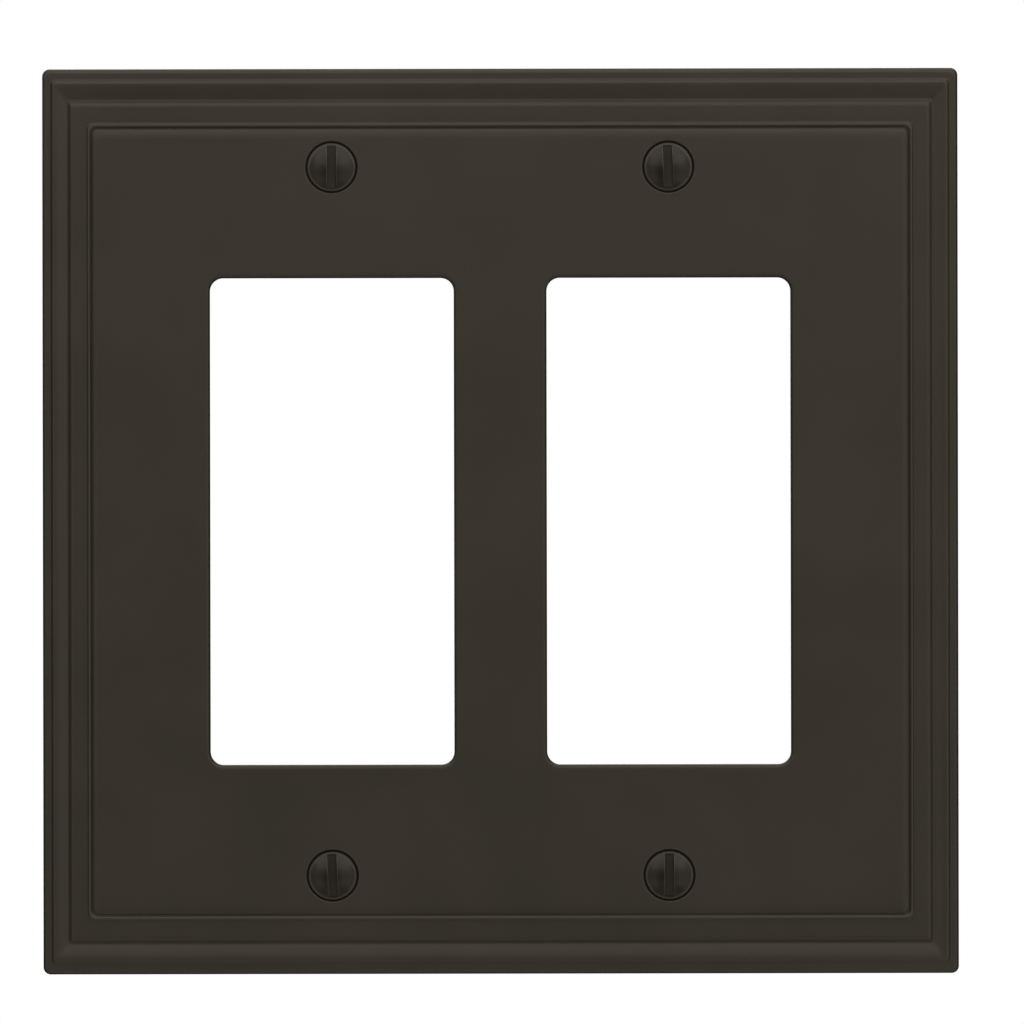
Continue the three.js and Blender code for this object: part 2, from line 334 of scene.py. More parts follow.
STEP_CORNER, PANEL_CORNER = 0.5, 0.9
OUTER_CORNER = 1.0

RIM_WIDTH = 2.4
RECESS_DEPTH = 4.3
RECESS_CORNER = 2.0
RECESS_FILLET = 0.8
RECESS_DRAFT = 0.08
RIM_EDGE = 0.15

COUNTERSINK_RADIUS = 3.62
COUNTERSINK_ANGLE = math.radians(41.0)
CLEARANCE_RADIUS = 2.05
BOSS_RADIUS = 4.8
BOSS_FACE = RECESS_DEPTH - 1.0

# Widths of the small edges of a screw hole: its countersink's broken edge, the foot of its cone, and the
# boss's fillet and outer edge.
HOLE_EDGE, CONE_FOOT_EDGE, BOSS_FILLET, BOSS_EDGE = 0.06, 0.03, 0.35, 0.2
WINDOW_BACK_EDGE = 0.2

# How far from a corner the points stand that keep its shading from spreading.
SUPPORT = 0.3
NEAR_SUPPORT = 0.04

# Numbers of facets: along a curve, along a small round, along a side, and round a hole.
FINE, COARSE = 12, 4
PLATE_SIDE_STEPS, WINDOW_SIDE_STEPS = 24, 18
HOLE_FACETS = 72

# The pull of a quarter ellipse's control points towards its corner.
QUARTER_PULL = 0.5523

# How far the wear and painted shade of an edge reach, and how strong they are: the painted shade in the
# border's hollows and on the ledge beside the bead, and the wear of the windows' edges.
MARK_REACH = 0.12
BORDER_HOLLOW_SHADE = 0.13
LEDGE_SHADE = 0.28
WINDOW_WEAR = 0.4


def straight(start, end):
    """A straight stretch with a further point close to each end, so that the shading of its neighbours does
    not spread along it. The last point is left to the next stretch."""
    start, end = np.array(start), np.array(end)
    near = NEAR_SUPPORT * (end - start) / np.hypot(*(end - start))
    return np.stack((start, start + near, end - near))


def curve(start, end, controls):
    """A Bezier curve between two places of the section. Its control points are given as shares of its width
    and rise."""
    start, end = np.array(start), np.array(end)
    inner = [start + np.array(share) * (end - start) for share in controls]
    return bezier([start, *inner, end], FINE)


def quarter(start, corner, end):
    """A Bezier curve that is very nearly a quarter ellipse: it leaves the start towards the corner and
    reaches the end from it."""
    start, corner, end = (np.array(p) for p in (start, corner, end))
    inner = [start + QUARTER_PULL * (corner - start), end + QUARTER_PULL * (corner - end)]
    return bezier([start, *inner, end], FINE)


def border_section():
    """The moulded border from the outer wall to the panel, a chain of straight and Bezier stretches: a
    rounded edge, a narrow band, a step up to the crown, a long fall into the cove, a rounded rise to the
    ledge, a thin bead, the quirk behind it and the panel's pillowed shoulder."""
    edge, band, crown = (EDGE_INSET, BAND), (BAND_INSET, BAND), (CROWN_INSET, CROWN)
    cove, ledge, bead_foot = (COVE_INSET, COVE), (LEDGE_INSET, LEDGE), (BEAD_FOOT_INSET, LEDGE)
    bead, quirk, panel = (BEAD_INSET, BEAD), (QUIRK_INSET, QUIRK), (PANEL_INSET, PANEL)
    return np.concatenate((
        straight((0.0, OUTER_WALL - SUPPORT), (0.0, OUTER_WALL)),
        quarter((0.0, OUTER_WALL), (0.0, BAND), edge),
        straight(edge, band),
        curve(band, crown, TO_CROWN),
        curve(crown, cove, TO_COVE),
        curve(cove, ledge, TO_LEDGE),
        straight(ledge, bead_foot),
        curve(bead_foot, bead, TO_BEAD),
        curve(bead, quirk, TO_QUIRK),
        curve(quirk, panel, TO_PANEL),
        [panel],
    ))


def border_corner(inset):
    """Corner radius of the border's ring at an inset: straight runs between the outer corner, the tight
    steps and the rounder bead and panel."""
    return np.interp(
        inset,
        (0.0, CROWN_INSET, LEDGE_INSET, BEAD_INSET),
        (OUTER_CORNER, STEP_CORNER, STEP_CORNER, PANEL_CORNER),
    )


def recess_section():
    """From the hollow's ceiling down its drafted wall and across the rim to the outer wall, as (inset,
    height): a quarter round under the ceiling, a straight wall and two small rounds at the rim."""
    ceiling = [(RIM_WIDTH + RECESS_DRAFT + RECESS_FILLET + SUPPORT, RECESS_DEPTH)]
    fillet_centre = (RIM_WIDTH + RECESS_DRAFT + RECESS_FILLET, RECESS_DEPTH - RECESS_FILLET)
    fillet = arc(fillet_centre, RECESS_FILLET, 90, 180, FINE)
    inner_edge = arc((RIM_WIDTH - RIM_EDGE, RIM_EDGE), RIM_EDGE, 0, -90, COARSE)
    outer_edge = arc((RIM_EDGE, RIM_EDGE), RIM_EDGE, 270, 180, COARSE)
    return np.concatenate((ceiling, fillet, inner_edge, outer_edge))


def band_surface(settings):
    """The whole outer band of the plate, one profile carried round its outline: from the ceiling of the
    hollow to the rim, up the outer wall and over the border to the panel. Returns the grid and its marks,
    with painted shade in the border's hollows that deepens on the ledge towards the bead."""
    inside, outside = recess_section(), border_section()
    profile = np.concatenate((inside, outside))
    inset, height = profile[:, 0], profile[:, 1]
    is_border = np.arange(len(profile)) >= len(inside)
    side_inset = np.where(is_border, np.interp(inset, STEPS_ALONG_TOP, STEPS_AT_SIDES), inset)
    to_recess = np.clip(inset / RIM_WIDTH, 0.0, 1.0)
    inner_corner = OUTER_CORNER + (RECESS_CORNER - OUTER_CORNER) * to_recess
    corner = np.where(is_border, border_corner(inset), inner_corner)
    rings = rounded_rectangles(
        HALF_WIDTH - side_inset, HALF_HEIGHT - inset, corner, settings.corner_steps, PLATE_SIDE_STEPS
    )
    heights = np.broadcast_to(height[:, None, None], (*rings.shape[:2], 1))
    edge_wear_and_highlight, hollow = edge_marks(profile * (-1, 1), MARK_REACH)
    # Painted shade: the ledge is darkened towards the bead's foot, and the border's hollows are darkened,
    # where shade falls.
    shade_beside_bead = np.interp(inset, (LEDGE_INSET, BEAD_FOOT_INSET, BEAD_INSET), (0.0, LEDGE_SHADE, 0.0))
    hollow_shade = np.where(is_border, np.maximum(BORDER_HOLLOW_SHADE * hollow, shade_beside_bead), 0.0)
    return np.concatenate((rings, heights), axis=-1), edge_wear_and_highlight[:, None], hollow_shade[:, None]


def window_surface(settings):
    """One window's edge and wall, a profile carried round the opening: a quarter round at the face, a
    straight wall and a small quarter round at the ceiling of the hollow."""
    edge, back_edge = settings.window_edge / MM, WINDOW_BACK_EDGE
    front = arc((edge, PANEL - edge), edge, 90, 180, FINE)
    back = arc((back_edge, RECESS_DEPTH + back_edge), back_edge, 180, 270, COARSE)
    front_support, back_support = (edge + SUPPORT, PANEL), (back_edge + SUPPORT, RECESS_DEPTH)
    profile = np.concatenate(([front_support], front, back, [back_support]))
    grow = profile[:, 0]
    rings = rounded_rectangles(
        settings.window_width / MM / 2 + grow,
        settings.window_height / MM / 2 + grow,
        settings.window_corner / MM + grow,
        settings.corner_steps,
        WINDOW_SIDE_STEPS,
    )
    heights = np.broadcast_to(profile[:, 1][:, None, None], (*rings.shape[:2], 1))
    edge_wear_and_highlight, hollow = edge_marks(profile, MARK_REACH)
    return np.concatenate((rings, heights), axis=-1), WINDOW_WEAR * edge_wear_and_highlight[:, None], hollow[:, None]


def hole_surface():
    """One screw hole, a profile turned about the hole's axis: the countersink's broken edge, its cone, the
    straight hole, the boss's face and the boss's side with a fillet to the ceiling. The inside of the hole
    is marked as hollow, which paints it dark: painted shade under the screw's head."""
    cone_foot = PANEL - (COUNTERSINK_RADIUS - CLEARANCE_RADIUS) / math.tan(COUNTERSINK_ANGLE)
    edge, foot_edge = HOLE_EDGE, CONE_FOOT_EDGE
    lip = bezier([
        (COUNTERSINK_RADIUS + edge, PANEL),
        (COUNTERSINK_RADIUS, PANEL),
        (COUNTERSINK_RADIUS - edge, PANEL - edge / math.tan(COUNTERSINK_ANGLE)),
    ], COARSE + 1)
    profile = np.concatenate((
        [(COUNTERSINK_RADIUS + edge + NEAR_SUPPORT, PANEL)],
        lip,
        [(CLEARANCE_RADIUS + foot_edge, cone_foot + foot_edge), (CLEARANCE_RADIUS, cone_foot)],
        arc((CLEARANCE_RADIUS + edge, BOSS_FACE + edge), edge, 180, 270, COARSE),
        arc((BOSS_RADIUS - BOSS_EDGE, BOSS_FACE + BOSS_EDGE), BOSS_EDGE, 270, 360, COARSE),
        arc((BOSS_RADIUS + BOSS_FILLET, RECESS_DEPTH - BOSS_FILLET), BOSS_FILLET, 180, 90, COARSE + 1),
        [(BOSS_RADIUS + BOSS_FILLET + SUPPORT, RECESS_DEPTH)],
    ))
    angle = np.linspace(0.0, 2 * math.pi, HOLE_FACETS, endpoint=False)[None, :]
    radius, height = profile[:, :1], profile[:, 1:]
    grid = np.stack(np.broadcast_arrays(radius * np.cos(angle), radius * np.sin(angle), height), axis=-1)
    edge_wear_and_highlight, hollow = edge_marks(profile, MARK_REACH)
    # Painted shade: the countersink's cone and the straight hole are marked fully hollow so that they come
    # out dark.
    below_lip = profile[:, 0] < COUNTERSINK_RADIUS - edge / 2
    above_boss_face = profile[:, 1] > BOSS_FACE + edge / 2
    return grid, edge_wear_and_highlight[:, None], np.maximum(hollow, below_lip & above_boss_face)[:, None]


def fill_flat(outline, holes, height, spacing):
    """Triangles that fill a flat between its outline and its holes: a constrained Delaunay triangulation of
    the loops and of a regular field of points, less the triangles whose middles lie in a hole. Each hole is
    a (loop, centre) pair and is star-shaped about its centre."""
    loops = [outline, *[loop for loop, centre in holes]]
    reach = np.abs(outline).max(axis=0) - spacing / 2
    counts = np.ceil(2 * reach / spacing).astype(int)
    axes = [np.linspace(-r, r, n) for r, n in zip(reach, counts)]
    field = np.stack(np.meshgrid(*axes), axis=-1).reshape(-1, 2)
    for loop, centre in holes:
        field = field[~inside_loop(field, loop, centre, spacing / 2)]
    points = np.concatenate((*loops, field))
    starts = np.cumsum([0, *[len(loop) for loop in loops]])
    edges = np.concatenate([
        np.stack((np.arange(n), np.roll(np.arange(n), -1)), axis=-1) + start
        for start, n in zip(starts, map(len, loops))
    ])
    result = delaunay_2d_cdt([Vector(p) for p in points.tolist()], edges.tolist(), [], 1, 1e-7)
    corners = np.array([tuple(v) for v in result[0]])
    triangles = np.array([f for f in result[2] if len(f) == 3])
    middles = corners[triangles].mean(axis=1)
    for loop, centre in holes:
        outside = ~inside_loop(middles, loop, centre, 0.0)
        triangles, middles = triangles[outside], middles[outside]
    raised = np.column_stack((corners, np.full(len(corners), height)))
    return raised, triangles


def inside_loop(points, loop, centre, margin):
    """Which points lie inside a star-shaped loop, or within a margin of it: their distance from the centre
    is compared with the loop's at the same angle."""
    arms, spokes = loop - centre, points - centre
    loop_angle = np.arctan2(arms[:, 1], arms[:, 0])
    order = np.argsort(loop_angle)
    directions = np.arctan2(spokes[:, 1], spokes[:, 0])
    sampled = np.stack([
        np.interp(directions, loop_angle[order], arms[order, axis], period=2 * math.pi) for axis in (0, 1)
    ], axis=-1)
    return np.hypot(*spokes.T) < np.hypot(*sampled.T) + margin


def make_faceplate_shell(settings):
    """The faceplate's closed surface: the outer band, two windows, four screw holes, and the flats between
    them at the face and at the ceiling of the hollow."""
    shell = Shell()
    band, band_rubbed, band_hollow = band_surface(settings)
    shell.add_grid(band, band_rubbed, band_hollow)
    front_holes, back_holes = [], []
    openings = [(window_surface(settings), np.array((side * GANG_OFFSET, 0.0))) for side in (-1, 1)]
    openings += [(hole_surface(), centre) for centre in SCREW_CENTRES.values()]
    for (grid, edge_wear_and_highlight, hollow), centre in openings:
        moved = grid + (*centre, 0.0)
        shell.add_grid(moved, edge_wear_and_highlight, hollow)
        front_holes.append((moved[0, :, :2], centre))
        back_holes.append((moved[-1, :, :2], centre))
    spacing = settings.fill_spacing / MM
    shell.add(*fill_flat(band[-1, :, :2], front_holes, PANEL, spacing), 0.0, 0.0)
    shell.add(*fill_flat(band[0, :, :2], back_holes, RECESS_DEPTH, spacing), 0.0, 0.0)
    return shell


# ---- Screws ---------------------------------------------------------------------------------------------

# The head, in millimetres: the straight band at its rim, the dome's radius and the fillet at its foot, the
# radius from which the rim gets a painted highlight, and the slot's floor above the rim and its rounded
# lip.
RIM_BAND = 0.12
DOME_RADIUS = 3.08
DOME_FILLET = 0.05
RIM_HIGHLIGHT_FROM = 2.93
SLOT_FLOOR = 0.05
SLOT_LIP = 0.11

# The small edge under the head's rim band, and the fillet at the foot of its cone.
RIM_EDGE_UP, RIM_EDGE_DOWN, RIM_EDGE_IN = 0.03, 0.01, 0.02
NECK_FILLET, NECK_RISE, NECK_EDGE = 0.1, 0.11, 0.02

# The shank and its thread. The thread's wave is stretched by the clip and cut off flat at 1.
MAJOR_RADIUS = 1.74
ROOT_RADIUS = 1.30
TIP_RADIUS = 1.0
TIP_LENGTH = 0.8
NECK_LENGTH = 0.25
THREAD_CLIP = 1.35

# Numbers of columns and rows.
PLAIN_COLUMNS = 32
SLOT_STEPS = 4
CROWN_ROWS = 101
THREAD_ROWS_PER_PITCH = 14

# Wear of the slot's lips, the painted highlight on the rim's band, and how far up a thread's wave its crest
# is worn and below which its root gets painted shade.
LIP_WEAR, LIP_REACH, BAND_HIGHLIGHT = 0.7, 1.5, 0.8
WORN_CREST, SHADED_ROOT = 0.6, 0.5
IN_SLOT = 0.3


def slot_columns(half_slot):
    """The columns from the slot's left lip to the middle of the slot: how far out each column lies, how
    deep it has dropped over the slot's rounded lip, a quarter circle, and what share of the rest of the
    slot's depth it has dropped down the wall."""
    steps = SLOT_STEPS
    lip_angle = np.linspace(0.0, math.pi / 2, steps + 1)
    lip_out = half_slot + SLOT_LIP * (1 - np.sin(lip_angle))
    wall_out = np.full(steps, half_slot)
    floor_out = half_slot * np.linspace(1.0, 0.0, steps + 1)[1:]
    out = np.concatenate((lip_out, wall_out, floor_out))
    lip_drop = np.concatenate((SLOT_LIP * (1 - np.cos(lip_angle)), np.full(2 * steps, SLOT_LIP)))
    share = np.concatenate((np.zeros(steps + 1), np.linspace(0.0, 1.0, steps + 1)[1:], np.ones(steps)))
    return out, lip_drop, share


def dome_height(radius, settings):
    """Height of the head's top above its rim: a spherical cap that meets a narrow flat rim in a small
    fillet, the smooth maximum of the sphere and the flat."""
    crown = settings.crown_height / MM
    sphere = (DOME_RADIUS**2 + crown**2) / (2 * crown)
    cap = np.sqrt(sphere**2 - radius**2) - sphere + crown
    return (cap + np.sqrt(cap**2 + DOME_FILLET**2)) / 2


def crown_surface(settings):
    """The domed top of a head with its driver slot, a grid of columns across and rows along the slot. Each
    column is a chord of the rim's circle. The height is the dome's, less the slot's depth there: nothing
    outside the slot, a rounded lip, a straight wall, and then down to a flat floor. Where the dome falls
    below the floor the slot runs out. The floor is marked for painted shade, the lips as scuffed, the rim
    for a painted highlight."""
    rim = settings.rim_radius / MM
    out, lip_drop, share = slot_columns(settings.slot_width / MM / 2)
    plain_angle = np.linspace(0.0, math.acos(out[0] / rim), PLAIN_COLUMNS, endpoint=False)
    left_out = np.concatenate((rim * np.cos(plain_angle), out))
    left_lip = np.concatenate((np.zeros(PLAIN_COLUMNS), lip_drop))
    left_share = np.concatenate((np.zeros(PLAIN_COLUMNS), share))
    across = np.concatenate((-left_out, left_out[-2::-1]))[:, None]
    lip_drop = np.concatenate((left_lip, left_lip[-2::-1]))[:, None]
    share = np.concatenate((left_share, left_share[-2::-1]))[:, None]
    row = np.sin(np.linspace(-math.pi / 2, math.pi / 2, CROWN_ROWS))[None, :]
    along = row * np.sqrt(np.clip(rim**2 - across**2, 0.0, None))
    radius = np.sqrt(across**2 + along**2)
    dome = dome_height(radius, settings)
    depth = np.clip(dome - SLOT_FLOOR, 0.0, None)
    drop = np.minimum(depth, lip_drop) + share * np.clip(depth - SLOT_LIP, 0.0, None)
    grid = np.stack(np.broadcast_arrays(across, along, RIM_BAND + dome - drop), axis=-1)
    below_lip = share > IN_SLOT
    lip_middle = out[SLOT_STEPS // 2]
    near_lip = np.abs(np.abs(across) - lip_middle) < LIP_REACH * SLOT_LIP
    # Painted shade: the slot below its lips is marked to be darkened.
    in_slot = below_lip & (depth > SLOT_LIP)
    on_lip = near_lip & ~below_lip & (depth > SLOT_LIP)
    # Painted highlight: the rim, out from where the dome ends, is marked to be lightened like a lit edge.
    rim_highlight = np.clip((radius - RIM_HIGHLIGHT_FROM) / (DOME_RADIUS - RIM_HIGHLIGHT_FROM), 0.0, 1.0)
    edge_wear_and_highlight = np.maximum(LIP_WEAR * on_lip, rim_highlight)
    return grid, edge_wear_and_highlight, in_slot.astype(float)


def thread_radius(height, angle, pitch):
    """Radius of the rolled thread: a wave with flat crests and roots, a clipped triangle wave of the height
    in pitches less the angle in turns, so that the crests climb as a right-hand helix."""
    turns = height / pitch - angle / (2 * math.pi)
    triangle = 2 * np.abs(2 * (turns - np.floor(turns)) - 1) - 1
    wave = np.clip(THREAD_CLIP * triangle, -1.0, 1.0)
    return (MAJOR_RADIUS + ROOT_RADIUS) / 2 + (MAJOR_RADIUS - ROOT_RADIUS) / 2 * np.sin(wave * math.pi / 2)


def shank_surface(settings, angles, tip):
    """A screw below its crown, rings of one set of angles: the rim's band, the head's cone, a short neck,
    the thread and a tapered tip that closes on the axis. Along the thread the radius is the thread's wave,
    faded into the neck over one pitch and into the tip over its length."""
    rim, pitch = settings.rim_radius / MM, settings.pitch / MM
    cone_foot = -(rim - ROOT_RADIUS) / math.tan(COUNTERSINK_ANGLE)
    plain = np.array((
        (rim, RIM_BAND + dome_height(rim, settings)),
        (rim, RIM_EDGE_UP),
        (rim - RIM_EDGE_IN, -RIM_EDGE_DOWN),
        (ROOT_RADIUS + NECK_FILLET, cone_foot + NECK_RISE),
        (ROOT_RADIUS + NECK_EDGE, cone_foot),
        (ROOT_RADIUS, cone_foot - NECK_FILLET),
    ))
    thread_start = cone_foot - NECK_LENGTH
    rows = int(round((thread_start - tip) / pitch * THREAD_ROWS_PER_PITCH))
    height = np.linspace(thread_start, tip, rows)[:, None]
    threaded = thread_radius(height, angles[None, :], pitch)
    neck_fade = np.clip((thread_start - height) / pitch, 0.0, 1.0)
    radius = ROOT_RADIUS + (threaded - ROOT_RADIUS) * neck_fade
    tip_fade = np.clip((height - tip) / TIP_LENGTH, 0.0, 1.0)
    radius = TIP_RADIUS + (radius - TIP_RADIUS) * tip_fade
    plain_radius = np.repeat(plain[:, :1], len(angles), axis=1)
    radius = np.concatenate((plain_radius, radius, np.zeros((1, len(angles)))))
    height = np.concatenate((plain[:, 1:], height, [[tip]]))
    grid = np.stack(
        np.broadcast_arrays(radius * np.cos(angles), radius * np.sin(angles), height), axis=-1
    )
    crest = np.clip((radius - ROOT_RADIUS) / (MAJOR_RADIUS - ROOT_RADIUS), 0.0, 1.0)
    on_thread = height < thread_start
    # Painted highlight: the band under the head's rim is marked to be lightened.
    band_highlight = np.where(height > 0.0, BAND_HIGHLIGHT, 0.0)
    edge_wear_and_highlight = np.where(on_thread, np.clip(crest - WORN_CREST, 0.0, 1.0), band_highlight)
    # Painted shade: the thread's roots are marked to be darkened.
    hollow = np.where(on_thread, np.clip(SHADED_ROOT - crest, 0.0, 1.0), 0.0)
    return grid, edge_wear_and_highlight, hollow


def make_screw_shell(settings):
    """One screw's closed surface with its origin at the rim: the slotted crown, and everything below it on
    rings that pass through the crown's edge points."""
    shell = Shell()
    crown, crown_wear_highlight, crown_hollow = crown_surface(settings)
    shell.add_grid(crown, crown_wear_highlight, crown_hollow, closed=False)
    edge = np.concatenate((crown[:, -1, :2], crown[-2:0:-1, 0, :2]))
    angles = np.arctan2(edge[:, 1], edge[:, 0])
    rim_height = CROWN_TOP - RIM_BAND - dome_height(0.0, settings)
    grid, edge_wear_and_highlight, hollow = shank_surface(settings, angles, SCREW_TIP - rim_height)
    shell.add_grid(grid, edge_wear_and_highlight, hollow)
    for block in shell.points:
        block[:, 2] += rim_height
    return shell


# ---- Materials ------------------------------------------------------------------------------------------


# Sizes of the finish's noises, as patches to a metre.
CLOUD_SCALE, SPECK_SCALE, SKIN_SCALE, SCUFF_SCALE = 70.0, 2600.0, 1500.0, 420.0

# How strongly specks lighten and the painted shade of the hollows darkens the colour, and how far clouds,
# wear and the hollows change the roughness.
SPECK_STRENGTH, HOLLOW_SHADE_STRENGTH = 0.25, 0.85
CLOUD_ROUGHNESS, WORN_ROUGHNESS, HOLLOW_ROUGHNESS = 0.10, 0.06, 0.15
BUMP_STRENGTH = 0.35


class Level:
    """A float socket in a node tree. Adding, taking away or multiplying levels adds Math nodes."""

    def __init__(self, tree, socket):
        self.tree, self.socket = tree, socket

    def joined(self, operation, other, swapped=False):
        """The result of one Math node fed by this level and another level or number."""
        node = self.tree.nodes.new("ShaderNodeMath")
        node.operation = operation
        first, second = (other, self) if swapped else (self, other)
        for slot, value in zip(node.inputs, (first, second)):
            if isinstance(value, Level):
                self.tree.links.new(value.socket, slot)
            else:
                slot.default_value = value
        return Level(self.tree, node.outputs[0])

    def __add__(self, other):
        return self.joined("ADD", other)

    def __sub__(self, other):
        return self.joined("SUBTRACT", other)

    def __rsub__(self, other):
        return self.joined("SUBTRACT", other, swapped=True)

    def __mul__(self, other):
        return self.joined("MULTIPLY", other)

    __radd__ = __add__
    __rmul__ = __mul__


class Finish:
    """One material and the means to add nodes to it."""

    def __init__(self, name):
        self.material = bpy.data.materials.new(name)
        self.material.use_nodes = True
        self.tree = self.material.node_tree
        self.shader = self.tree.nodes["Principled BSDF"]
        self.place = self.node("ShaderNodeTexCoord", output="Object")

    def feed(self, slot, value):
        """Links a level or a socket to an input, or sets the input to a number or colour."""
        if isinstance(value, Level):
            value = value.socket
        if isinstance(value, bpy.types.NodeSocket):
            self.tree.links.new(value, slot)
        else:
            slot.default_value = value

    def node(self, kind, settings=None, inputs=None, output=0):
        """Adds a node, sets its settings, feeds its inputs and returns one of its output sockets."""
        node = self.tree.nodes.new(kind)
        for key, value in (settings or {}).items():
            setattr(node, key, value)
        for key, value in (inputs or {}).items():
            self.feed(node.inputs[key], value)
        return node.outputs[output]

    def mark(self, name):
        """A point attribute of the piece, as a level."""
        return Level(self.tree, self.node("ShaderNodeAttribute", {"attribute_name": name}, output="Fac"))

    def noise(self, scale, detail=2.0, roughness=0.5):
        """Noise from 0 to 1 over the piece's own coordinates."""
        inputs = {"Vector": self.place, "Scale": scale, "Detail": detail, "Roughness": roughness}
        return Level(self.tree, self.node("ShaderNodeTexNoise", inputs=inputs, output=0))

    def eased(self, level, low, high):
        """A level eased from 0 at low to 1 at high."""
        settings = {"interpolation_type": "SMOOTHSTEP"}
        inputs = {"Value": level, "From Min": low, "From Max": high}
        return Level(self.tree, self.node("ShaderNodeMapRange", settings, inputs))

    def blend(self, factor, first, second):
        """A colour between two colours."""
        node_settings = {"data_type": "RGBA"}
        return self.node("ShaderNodeMix", node_settings, {0: factor, 6: first, 7: second}, output=2)


def colour(values):
    """A colour with full alpha, as sockets take it."""
    return (*values, 1.0)


def bronze_finish(name, settings, tone, wear_and_highlight_share, mottle, grain, gloss):
    """A satin dark-bronze finish: a brown that clouds slightly, lighter on scuffed convex edges and painted
    highlights, and darker in the hollows as painted shade, over a fine cast skin. tone darkens or lightens
    the brown, wear_and_highlight_share is how far the marked edges go to their lighter colour, mottle is
    the share of clouding, grain the height of the skin's bumps in metres, and gloss is taken off the
    roughness."""
    finish = Finish(name)
    clouds = finish.noise(CLOUD_SCALE, detail=3.0)
    specks = finish.noise(SPECK_SCALE, detail=2.0, roughness=0.6)
    skin = finish.noise(SKIN_SCALE, detail=3.0, roughness=0.55)
    scuffs = finish.noise(SCUFF_SCALE, detail=4.0, roughness=0.7)
    bronze = colour([c * tone for c in settings.bronze])
    darker = colour([c * tone * (1.0 - mottle) for c in settings.bronze])
    base = finish.blend(finish.eased(clouds, 0.3, 0.7), darker, bronze)
    base = finish.blend(finish.eased(specks, 0.6, 0.8) * SPECK_STRENGTH, base, colour(settings.edge_wear_and_highlight))
    # The edge mark lightens scuffed edges, and on the screws it also paints the highlight of the rim's
    # band.
    scuff_and_highlight = finish.eased(finish.mark("edge_wear_and_highlight") * (0.45 + scuffs), 0.15, 0.75)
    base = finish.blend(scuff_and_highlight * wear_and_highlight_share, base, colour(settings.edge_wear_and_highlight))
    # Painted shade: the hollow mark darkens the colour towards the shade colour in the hollows, the holes
    # and the slots.
    sunk = finish.eased(finish.mark("hollow") + scuffs * 0.2 - 0.1, 0.08, 0.7)
    base = finish.blend(sunk * HOLLOW_SHADE_STRENGTH, base, colour(settings.hollow_shade))
    middle = settings.roughness - gloss - CLOUD_ROUGHNESS / 2
    roughness = middle + CLOUD_ROUGHNESS * clouds - WORN_ROUGHNESS * scuff_and_highlight + HOLLOW_ROUGHNESS * sunk
    bumps = skin * 0.7 + specks * 0.3
    relief = {"Strength": BUMP_STRENGTH, "Distance": grain, "Height": bumps}
    normal = finish.node("ShaderNodeBump", inputs=relief)
    finish.feed(finish.shader.inputs["Base Color"], base)
    finish.feed(finish.shader.inputs["Roughness"], roughness)
    finish.feed(finish.shader.inputs["Normal"], normal)
    finish.shader.inputs["Metallic"].default_value = 0.0
    finish.shader.inputs["IOR"].default_value = 1.5
    finish.shader.inputs["Specular Tint"].default_value = colour(settings.sheen)
    return finish.material


# ---- Operators ------------------------------------------------------------------------------------------


class WALLPLATE_OT_faceplate(bpy.types.Operator):
    """Make the cast faceplate: moulded border, pillowed panel, two windows, four countersunk holes and the
    hollow back"""

    bl_idname = "wallplate.make_faceplate"
    bl_label = "Make faceplate"

    def execute(self, context):
        scene = context.scene
        finish = scene.wallplate_finish
        piece = make_faceplate_shell(scene.wallplate_plate).to_object("cast_faceplate")
        material = bronze_finish(
            "plate_bronze", finish, tone=1.0, wear_and_highlight_share=0.6, mottle=0.12, grain=0.00002, gloss=0.0
        )
        piece.data.materials.append(material)
        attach(piece, "cover")
        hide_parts("faceplate")
        return {"FINISHED"}


class WALLPLATE_OT_screws(bpy.types.Operator):
    """Make the four slotted oval-head screws"""

    bl_idname = "wallplate.make_screws"
    bl_label = "Make screws"

    def execute(self, context):
        scene = context.scene
        settings = scene.wallplate_screws
        finish = scene.wallplate_finish
        material = bronze_finish(
            "screw_bronze", finish, tone=0.3, wear_and_highlight_share=0.7, mottle=0.25, grain=0.00001, gloss=0.14
        )
        for node, lean in zip(SCREW_NODES, settings.slot_leans):
            shell = make_screw_shell(settings)
            piece = shell.to_object(f"slotted_{node}", turn=lean, centre=SCREW_CENTRES[node])
            piece.data.materials.append(material)
            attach(piece, node)
            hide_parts(node)
        return {"FINISHED"}


# Each softbox: its bearing to the right of the plate's front and its rise above it, how wide and how tall
# it looks from the plate, all in degrees, and its radiance.
SOFTBOXES = {
    "front_softbox": (0, 0, 36, 24, 0.12),
    "low_front_softbox": (0, -28, 90, 24, 0.25),
    "low_softbox": (0, -56, 90, 24, 0.50),
    "floor_softbox": (0, -82, 90, 36, 0.40),
    "front_top_softbox": (0, 22, 90, 24, 0.78),
    "top_softbox": (0, 46, 90, 26, 1.15),
    "high_softbox": (0, 75, 90, 34, 0.85),
    "overhead_softbox": (0, 105, 90, 26, 0.90),
    "left_softbox": (-40, 0, 34, 70, 0.46),
    "near_right_softbox": (24, 0, 18, 60, 0.51),
    "right_softbox": (50, 0, 34, 70, 0.56),
    "rear_softbox": (200, 25, 60, 40, 1.80),
}


def make_softbox(name, bearing, rise, wide, tall, radiance, distance):
    """An area light at a distance from the plate's centre, aimed at it. Its power gives it the radiance
    asked for: pi times its area times the radiance."""
    light = bpy.data.lights.new(name, "AREA")
    light.shape = "RECTANGLE"
    light.size = distance * math.radians(wide)
    light.size_y = distance * math.radians(tall)
    light.energy = math.pi * light.size * light.size_y * radiance
    lamp = bpy.data.objects.new(name, light)
    bearing, rise = math.radians(bearing), math.radians(rise)
    level = math.cos(rise)
    towards = Vector((math.sin(bearing) * level, -math.cos(bearing) * level, math.sin(rise)))
    lamp.location = distance * towards
    lamp.rotation_euler = (-towards).to_track_quat("-Z", "Y").to_euler()
    lamp.visible_camera = False
    bpy.context.scene.collection.objects.link(lamp)


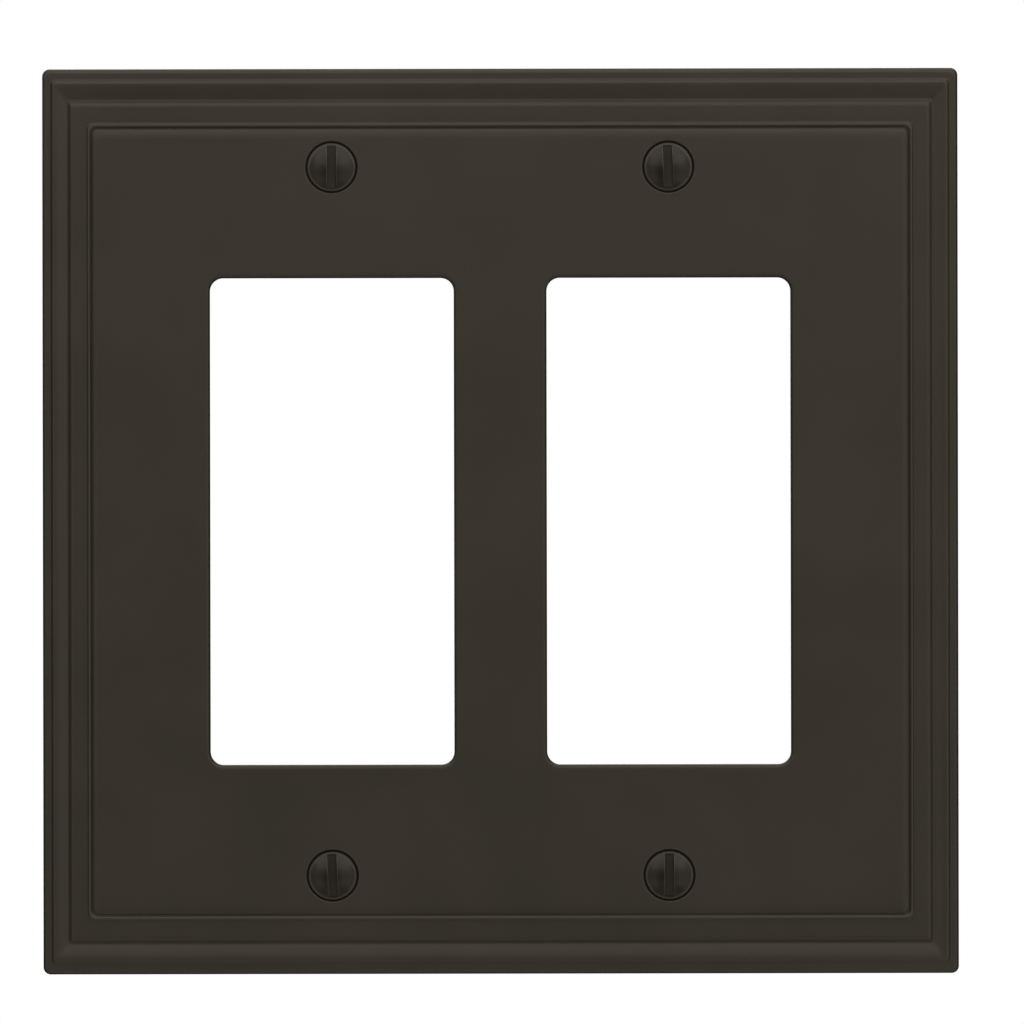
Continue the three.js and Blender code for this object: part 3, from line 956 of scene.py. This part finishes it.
def make_floor():
    """A pale matt floor well below the plate, which hangs on no wall. It glows softly so that it stays pale
    beside so dark a plate, and only the camera sees it, so that the glow doesn't light the plate."""
    side, drop, glow = 3.0, -0.6, 0.75
    mesh = bpy.data.meshes.new("pale_floor")
    corners = [(-side, -side, drop), (side, -side, drop), (side, side, drop), (-side, side, drop)]
    mesh.from_pydata(corners, [], [(0, 1, 2, 3)])
    floor = bpy.data.objects.new("pale_floor", mesh)
    bpy.context.scene.collection.objects.link(floor)
    finish = Finish("pale_floor")
    tone = finish.blend(finish.noise(6.0), colour((0.80, 0.80, 0.79)), colour((0.84, 0.84, 0.83)))
    finish.feed(finish.shader.inputs["Base Color"], tone)
    finish.feed(finish.shader.inputs["Emission Color"], tone)
    finish.shader.inputs["Emission Strength"].default_value = glow
    finish.shader.inputs["Roughness"].default_value = 0.9
    mesh.materials.append(finish.material)
    floor.visible_diffuse = False
    floor.visible_glossy = False


def make_world():
    """A white background that only the camera sees, so that the softboxes alone light the plate."""
    world = bpy.data.worlds.new("white_backdrop")
    world.use_nodes = True
    world.node_tree.nodes["Background"].inputs["Color"].default_value = (1.0, 1.0, 1.0, 1.0)
    world.cycles_visibility.diffuse = False
    world.cycles_visibility.glossy = False
    world.cycles_visibility.transmission = False
    bpy.context.scene.world = world


def make_camera(settings):
    """A long lens square to the face, at the distance and offset that frame the plate."""
    data = bpy.data.cameras.new("front_camera")
    data.lens = data.sensor_width * settings.camera_distance / settings.view_width
    camera = bpy.data.objects.new("front_camera", data)
    right, up = settings.camera_offset
    camera.location = (right, PLATE_LOW.y - settings.camera_distance, up)
    camera.rotation_euler = Euler((math.pi / 2, settings.camera_roll, 0.0))
    bpy.context.scene.collection.objects.link(camera)
    bpy.context.scene.camera = camera


class WALLPLATE_OT_stage(bpy.types.Operator):
    """Make the studio: a pale floor, a white backdrop, softboxes and the front camera"""

    bl_idname = "wallplate.make_stage"
    bl_label = "Make stage"

    def execute(self, context):
        make_floor()
        make_world()
        settings = context.scene.wallplate_stage
        for name, softbox in SOFTBOXES.items():
            make_softbox(name, *softbox, settings.softbox_distance)
        make_camera(settings)
        context.scene.view_settings.view_transform = "Standard"
        return {"FINISHED"}


class WALLPLATE_PT_sidebar(bpy.types.Panel):
    """The makers and their settings"""

    bl_label = "Wall plate"
    bl_idname = "WALLPLATE_PT_sidebar"
    bl_space_type = "VIEW_3D"
    bl_region_type = "UI"
    bl_category = "Wall plate"

    def draw(self, context):
        for group in GROUPS:
            settings = getattr(context.scene, group)
            for key in settings.__annotations__:
                self.layout.prop(settings, key)
        for maker in MAKERS:
            self.layout.operator(maker.bl_idname)


GROUPS = {
    "wallplate_plate": PlateSettings,
    "wallplate_screws": ScrewSettings,
    "wallplate_finish": FinishSettings,
    "wallplate_stage": StageSettings,
}
MAKERS = (WALLPLATE_OT_faceplate, WALLPLATE_OT_screws, WALLPLATE_OT_stage)


def register():
    for owner in (*GROUPS.values(), *MAKERS, WALLPLATE_PT_sidebar):
        bpy.utils.register_class(owner)
    for name, group in GROUPS.items():
        setattr(bpy.types.Scene, name, PointerProperty(type=group))


def unregister():
    for name in GROUPS:
        delattr(bpy.types.Scene, name)
    for owner in (WALLPLATE_PT_sidebar, *MAKERS, *GROUPS.values()):
        bpy.utils.unregister_class(owner)


def main():
    register()
    bpy.ops.wallplate.make_stage()
    bpy.ops.wallplate.make_faceplate()
    bpy.ops.wallplate.make_screws()


if __name__ == "__main__":
    main()
